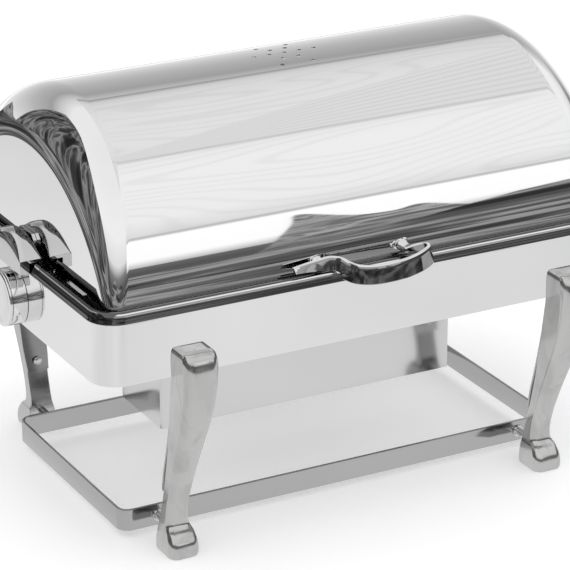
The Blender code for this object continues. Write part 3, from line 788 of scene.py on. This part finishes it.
# dark skirting round the front, left and right of the table
mat, nt, em, pos, (X, Y, Z) = glow("skirting")
streak = noise(nt, stretched(nt, pos, (0.9, 0.9, 7.0)), 2.2, 5.0, 0.6)
em_col = ramp(nt, streak, [(0.35, 0.03), (0.48, 0.12), (0.56, 0.36), (0.62, 0.26), (0.70, 0.06)])
nt.links.new(em_col, em.inputs["Color"])
pairs = []
for k in range(73):
    a = math.radians(104.0 + 236.0 * k / 72.0)
    top = 0.46 + 0.08 * math.sin(5.0 * a) + 0.05 * math.sin(13.0 * a + 1.0)
    x, y = SKIRTING_R * math.cos(a), SKIRTING_R * math.sin(a)
    pairs.append(((x, y, 0.0), (x, y, top)))
skirting = finish_mesh("skirting", strip(pairs), mat)
card(skirting)

# ceiling softbox over the drum, with panelled boards
mat, nt, em, pos, (X, Y, Z) = glow("softbox")
psi = maths(nt, "MULTIPLY", maths(nt, "ARCTAN2", Z, maths(nt, "MULTIPLY", Y, -1.0)), 180.0 / math.pi)
along = maths(nt, "DIVIDE", maths(nt, "SUBTRACT", X, 1.95), 2.5)
base = ramp(nt, maths(nt, "DIVIDE", psi, 200.0), [
    (0.060, 0.40), (0.085, 1.10), (0.146, 1.12), (0.150, 0.36), (0.156, 0.80), (0.200, 0.94),
    (0.340, 0.95), (0.386, 0.90), (0.394, 0.62), (0.402, 0.78), (0.440, 0.84), (0.560, 0.82),
    (0.640, 0.74), (0.658, 0.66), (0.670, 0.36), (0.720, 0.38)])
# wedge of boards that widens to the right
upper = maths(nt, "MULTIPLY_ADD", maths(nt, "ADD", along, 0.24), 77.0, 81.0)
span = maths(nt, "DIVIDE", maths(nt, "SUBTRACT", psi, 79.5), maths(nt, "SUBTRACT", upper, 79.5))
inside = ramp(nt, span, [(0.0, 0.0), (0.02, 1.0), (0.98, 1.0), (1.0, 0.0)], "CONSTANT")
boards = maths(nt, "FRACT", maths(nt, "MULTIPLY", span, 9.0))
board_tone = ramp(nt, boards, [(0.0, 0.60), (0.06, 0.76), (0.5, 0.80), (0.94, 0.74), (1.0, 0.60)])
# grain lines in long arches
warp = noise(nt, stretched(nt, pos, (0.35, 0.22, 0.22)), 1.6, 1.0)
arches = maths(nt, "SINE", maths(nt, "ADD", maths(nt, "MULTIPLY", warp, 190.0),
                                 maths(nt, "MULTIPLY", psi, 0.35)))
grain_tone = ramp(nt, maths(nt, "MULTIPLY_ADD", arches, 0.5, 0.5), [(0.0, 0.93), (0.30, 1.0), (1.0, 1.0)])
white_band = maths(nt, "LESS_THAN", psi, 30.5)
grain_safe = maths(nt, "MAXIMUM", grain_tone, white_band)
tone = maths(nt, "MULTIPLY", base, grain_safe)
mix = add(nt, "ShaderNodeMix", data_type="RGBA")
nt.links.new(inside, mix.inputs["Factor"])
nt.links.new(tone, mix.inputs["A"])
nt.links.new(board_tone, mix.inputs["B"])
nt.links.new(mix.outputs["Result"], em.inputs["Color"])
pairs = []
for k in range(65):
    a = math.radians(13.0 + 122.0 * k / 64.0)
    y, z = -SOFTBOX_R * math.cos(a), SOFTBOX_R * math.sin(a)
    pairs.append(((0.6, y, z), (3.6, y, z)))
softbox = finish_mesh("softbox", strip(pairs), mat)
softbox.location = (0.0, 0.0, STAGE_Z)
card(softbox)

# dark shapes that stand in front of the table
mat, nt, em, pos, (X, Y, Z) = glow("dark_front")
flow = noise(nt, stretched(nt, pos, (0.9, 1.0, 3.2)), 2.2, 3.0, 1.8)
em_col = ramp(nt, flow, [(0.30, 0.12), (0.40, 0.20), (0.45, 0.36), (0.52, 0.44), (0.55, 0.10),
                         (0.58, 0.36), (0.64, 0.30), (0.72, 0.10)])
high = ramp(nt, maths(nt, "DIVIDE", Z, 1.2), [(0.25, 0.12), (0.42, 0.45), (0.62, 1.0), (0.95, 1.0)])
em_col = maths(nt, "MULTIPLY", em_col, high)
nt.links.new(em_col, em.inputs["Color"])
outline = smooth_rows([
    (0.10, 0.36), (0.45, 0.34), (0.645, 0.38), (0.764, 0.58), (0.836, 0.84), (0.895, 1.06),
    (0.948, 1.26), (0.985, 1.06), (1.015, 0.96), (1.070, 0.92), (1.130, 0.96), (1.180, 0.76),
    (1.240, 0.62), (1.310, 0.70), (1.420, 0.58), (1.480, 0.60), (2.00, 0.60),
], 8)
pairs = [((x, FRONT_SHAPES_Y, 0.0), (x, FRONT_SHAPES_Y, z)) for x, z in outline]
dark_front = finish_mesh("dark_front", strip(pairs), mat)
card(dark_front)

# dark hangings to the left
mat, nt, em, pos, (X, Y, Z) = glow("dark_left")
folds = noise(nt, stretched(nt, pos, (1.0, 3.0, 0.7)), 1.0, 2.0, 0.5)
nt.links.new(ramp(nt, folds, [(0.34, 0.02), (0.46, 0.06), (0.55, 0.26), (0.60, 0.06), (0.70, 0.18)]),
             em.inputs["Color"])
outline = smooth_rows([
    (-1.05, 0.60), (-0.80, 1.00), (-0.40, 1.60), (0.20, 2.60), (1.00, 3.60), (1.90, 4.20),
    (3.40, 4.40),
], 6)
pairs = [((LEFT_SHAPES_X, y, 0.0), (LEFT_SHAPES_X, y, z)) for y, z in outline]
card(finish_mesh("dark_left", strip(pairs), mat))

world = bpy.data.worlds.new("studio")
bpy.context.scene.world = world
world.use_nodes = True
world.node_tree.nodes["Background"].inputs["Color"].default_value = (1.0, 1.0, 1.0, 1.0)
world.node_tree.nodes["Background"].inputs["Strength"].default_value = 0.95
bpy.context.scene.view_settings.view_transform = "Standard"

key_data = bpy.data.lights.new("key", "AREA")
key_data.energy = 14.0
key_data.shape = "RECTANGLE"
key_data.size, key_data.size_y = 2.4, 1.8
key_light = bpy.data.objects.new("key", key_data)
key_light.location = (-0.5, -0.8, 3.0)
key_light.rotation_euler = (Vector((0.0, 0.0, 0.2)) - key_light.location).to_track_quat(
    "-Z", "Y").to_euler()
key_light.visible_glossy = False
bpy.context.scene.collection.objects.link(key_light)

# ---------- camera ----------
cam_data = bpy.data.cameras.new("camera")
cam = bpy.data.objects.new("camera", cam_data)
cam_data.lens = 188.4
cam_data.sensor_width = 36.0
cam_data.clip_end = 60.0
cam.location = (-1.3558, -2.5318, 1.3377)
cam.rotation_euler = (math.radians(90.0 - 21.943), 0.0, math.radians(-28.183))
bpy.context.scene.collection.objects.link(cam)
bpy.context.scene.camera = cam
